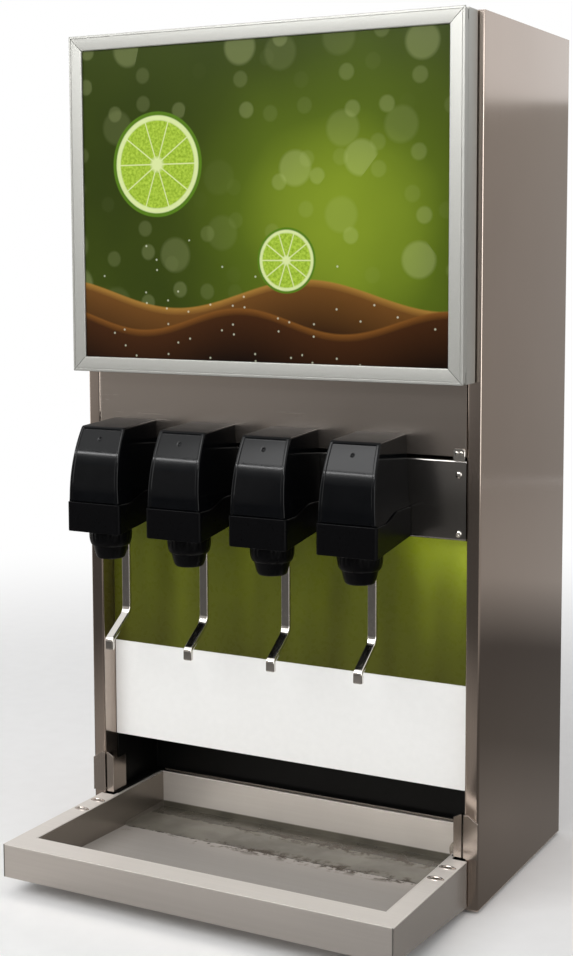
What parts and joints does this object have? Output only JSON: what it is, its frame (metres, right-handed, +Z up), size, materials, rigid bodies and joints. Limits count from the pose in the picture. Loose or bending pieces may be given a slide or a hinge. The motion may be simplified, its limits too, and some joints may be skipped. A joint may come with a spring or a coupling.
{
  "type": "soda fountain machine",
  "caption": "Counter-top soda fountain: folded stainless cabinet with a framed light box, a row of lever valves with nozzles, a splash panel and a slide-out drip tray.",
  "frame": {"origin": "bottom centre of the whole machine, on the counter", "axes": "+Z up, +X to the right seen from the front, front towards -Y"},
  "size_m": [0.456, 0.4276, 0.875],
  "materials": {
    "brushed_stainless": "vertical brushed stainless sheet",
    "dark_stainless": "brushed stainless sheet, dark in the shade",
    "polished_stainless": "polished stainless",
    "tray_stainless": "bright stainless, polished floor",
    "anodised_aluminium": "silver anodised extrusion",
    "white_enamel": "white gloss enamel",
    "black_enamel": "black satin enamel",
    "green_film": "printed green film, gloss",
    "printed_face": "printed face, gloss",
    "opal_acrylic": "opal acrylic",
    "foam_tape": "black foam",
    "led_board": "white board",
    "gloss_black": "glossy black moulding",
    "black_plastic": "matt black moulding",
    "white_plastic": "white moulding",
    "line_plastic": "translucent line",
    "brass": "turned brass",
    "rubber": "moulded rubber"
  },
  "bodies": {
    "cabinet": {"side_panel_left": "brushed_stainless", "side_panel_right": "brushed_stainless", "back_panel": "brushed_stainless", "top_panel": "brushed_stainless", "base_pan": "brushed_stainless", "upper_front_panel": "brushed_stainless", "valve_plate": "dark_stainless", "splash_panel": "white_enamel", "splash_film": "green_film", "tray_niche": "black_enamel", "panel_clips": "polished_stainless", "tray_bracket_left": "polished_stainless", "tray_bracket_right": "polished_stainless", "tray_runners": "black_enamel", "feet": "rubber", "cabinet_screws": "polished_stainless", "sign_housing": "anodised_aluminium", "sign_tape": "foam_tape", "sign_print": "printed_face", "sign_diffuser": "opal_acrylic", "led_strips": "led_board", "transformer": "black_enamel", "power_inlet": "black_plastic", "inlet_shelf": "brushed_stainless", "line_inlets": "brass", "soda_manifold": "brushed_stainless", "soda_lines": "line_plastic", "syrup_lines": "line_plastic", "lever_pins": "polished_stainless", "valve_switches": "black_plastic", "solenoids": "black_plastic", "mount_blocks": "black_plastic", "valve_cover_1": "gloss_black", "valve_cover_2": "gloss_black", "valve_cover_3": "gloss_black", "valve_cover_4": "gloss_black", "valve_body_1": "gloss_black", "valve_body_2": "gloss_black", "valve_body_3": "gloss_black", "valve_body_4": "gloss_black"},
    "tray": {"drip_tray": "tray_stainless", "tray_rim": "tray_stainless", "tray_rivets": "polished_stainless", "drain_spigot": "polished_stainless"},
    "rail_top": {"sign_rail_top": "anodised_aluminium"},
    "rail_bottom": {"sign_rail_bottom": "anodised_aluminium"},
    "rail_left": {"sign_rail_left": "anodised_aluminium"},
    "rail_right": {"sign_rail_right": "anodised_aluminium"},
    "lever_1": {"lever_1": "polished_stainless"},
    "switch_button_1": {"switch_button_1": "white_plastic"},
    "nozzle_1": {"nozzle_1": "gloss_black"},
    "lever_2": {"lever_2": "polished_stainless"},
    "switch_button_2": {"switch_button_2": "white_plastic"},
    "nozzle_2": {"nozzle_2": "gloss_black"},
    "lever_3": {"lever_3": "polished_stainless"},
    "switch_button_3": {"switch_button_3": "white_plastic"},
    "nozzle_3": {"nozzle_3": "gloss_black"},
    "lever_4": {"lever_4": "polished_stainless"},
    "switch_button_4": {"switch_button_4": "white_plastic"},
    "nozzle_4": {"nozzle_4": "gloss_black"}
  },
  "joints": [
    {"name": "tray_slide", "type": "slide", "parent": "cabinet", "child": "tray", "axis": [0, -1, 0], "range_m": [0, 0.07]},
    {"name": "rail_top_hinge", "type": "hinge", "parent": "cabinet", "child": "rail_top", "pos_m": [0, -0.0648, 0.8735], "axis": [-1, 0, 0], "range_deg": [0, 100]},
    {"name": "rail_bottom_hinge", "type": "hinge", "parent": "cabinet", "child": "rail_bottom", "pos_m": [0, -0.0648, 0.5265], "axis": [1, 0, 0], "range_deg": [0, 100]},
    {"name": "rail_left_hinge", "type": "hinge", "parent": "cabinet", "child": "rail_left", "pos_m": [-0.221, -0.0648, 0.7], "axis": [0, 0, -1], "range_deg": [0, 100]},
    {"name": "rail_right_hinge", "type": "hinge", "parent": "cabinet", "child": "rail_right", "pos_m": [0.221, -0.0648, 0.7], "axis": [0, 0, 1], "range_deg": [0, 100]},
    {"name": "lever_1_push", "type": "hinge", "parent": "cabinet", "child": "lever_1", "pos_m": [-0.1685, -0.0568, 0.377], "axis": [1, 0, 0], "range_deg": [0, 8], "stiffness_Nm_per_rad": 1.5, "springref_deg": -5.73},
    {"name": "switch_button_1_travel", "type": "slide", "parent": "cabinet", "child": "switch_button_1", "axis": [0, -1, 0], "range_m": [0, 0.0016]},
    {"name": "nozzle_1_twist", "type": "hinge", "parent": "cabinet", "child": "nozzle_1", "pos_m": [-0.1685, -0.0858, 0.347], "axis": [0, 0, 1], "range_deg": [0, 45]},
    {"name": "lever_2_push", "type": "hinge", "parent": "cabinet", "child": "lever_2", "pos_m": [-0.0715, -0.0568, 0.377], "axis": [1, 0, 0], "range_deg": [0, 8], "stiffness_Nm_per_rad": 1.5, "springref_deg": -5.73},
    {"name": "switch_button_2_travel", "type": "slide", "parent": "cabinet", "child": "switch_button_2", "axis": [0, -1, 0], "range_m": [0, 0.0016]},
    {"name": "nozzle_2_twist", "type": "hinge", "parent": "cabinet", "child": "nozzle_2", "pos_m": [-0.0715, -0.0858, 0.347], "axis": [0, 0, 1], "range_deg": [0, 45]},
    {"name": "lever_3_push", "type": "hinge", "parent": "cabinet", "child": "lever_3", "pos_m": [0.0255, -0.0568, 0.377], "axis": [1, 0, 0], "range_deg": [0, 8], "stiffness_Nm_per_rad": 1.5, "springref_deg": -5.73},
    {"name": "switch_button_3_travel", "type": "slide", "parent": "cabinet", "child": "switch_button_3", "axis": [0, -1, 0], "range_m": [0, 0.0016]},
    {"name": "nozzle_3_twist", "type": "hinge", "parent": "cabinet", "child": "nozzle_3", "pos_m": [0.0255, -0.0858, 0.347], "axis": [0, 0, 1], "range_deg": [0, 45]},
    {"name": "lever_4_push", "type": "hinge", "parent": "cabinet", "child": "lever_4", "pos_m": [0.1225, -0.0568, 0.377], "axis": [1, 0, 0], "range_deg": [0, 8], "stiffness_Nm_per_rad": 1.5, "springref_deg": -5.73},
    {"name": "switch_button_4_travel", "type": "slide", "parent": "cabinet", "child": "switch_button_4", "axis": [0, -1, 0], "range_m": [0, 0.0016]},
    {"name": "nozzle_4_twist", "type": "hinge", "parent": "cabinet", "child": "nozzle_4", "pos_m": [0.1225, -0.0858, 0.347], "axis": [0, 0, 1], "range_deg": [0, 45]}
  ],
  "couplings": [
    {"joint": "switch_button_1_travel", "follows": "lever_1_push", "m_per_rad": 0.011},
    {"joint": "switch_button_2_travel", "follows": "lever_2_push", "m_per_rad": 0.011},
    {"joint": "switch_button_3_travel", "follows": "lever_3_push", "m_per_rad": 0.011},
    {"joint": "switch_button_4_travel", "follows": "lever_4_push", "m_per_rad": 0.011}
  ]
}
